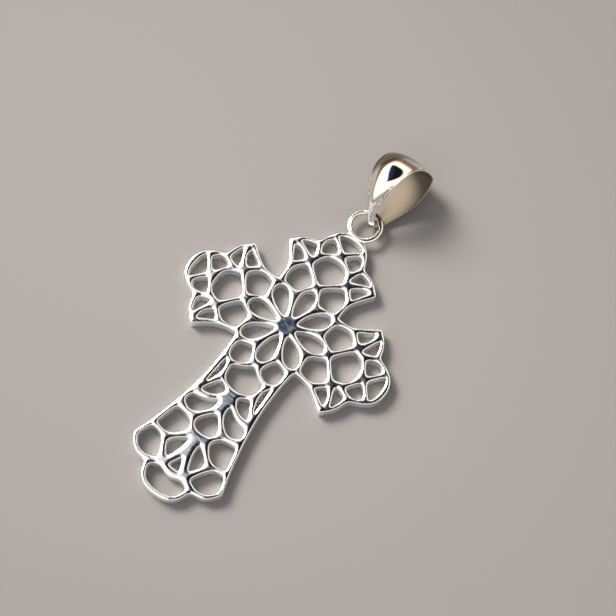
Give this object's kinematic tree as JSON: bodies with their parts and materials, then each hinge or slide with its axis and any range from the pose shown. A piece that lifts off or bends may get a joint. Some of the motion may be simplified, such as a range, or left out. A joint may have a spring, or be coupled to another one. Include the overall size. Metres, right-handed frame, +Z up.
{
  "type": "openwork cross pendant",
  "caption": "Flat pierced cross pendant with lobed arms, a flower of petal openings at its middle, a soldered ring and a domed folded bail.",
  "frame": {"origin": "on the surface that the pendant lies on, at the base of the middle of its bounding box", "axes": "+X across the cross to the right, +Y from the foot of the cross to the bail, +Z up from the back of the cross to its face"},
  "size_m": [0.024, 0.0428, 0.007],
  "materials": {
    "worn_silver": "polished silver with fine wear scratches",
    "polished_silver": "high polish silver"
  },
  "bodies": {
    "root": {"openwork_cross": "worn_silver", "bail": "polished_silver"}
  },
  "joints": []
}
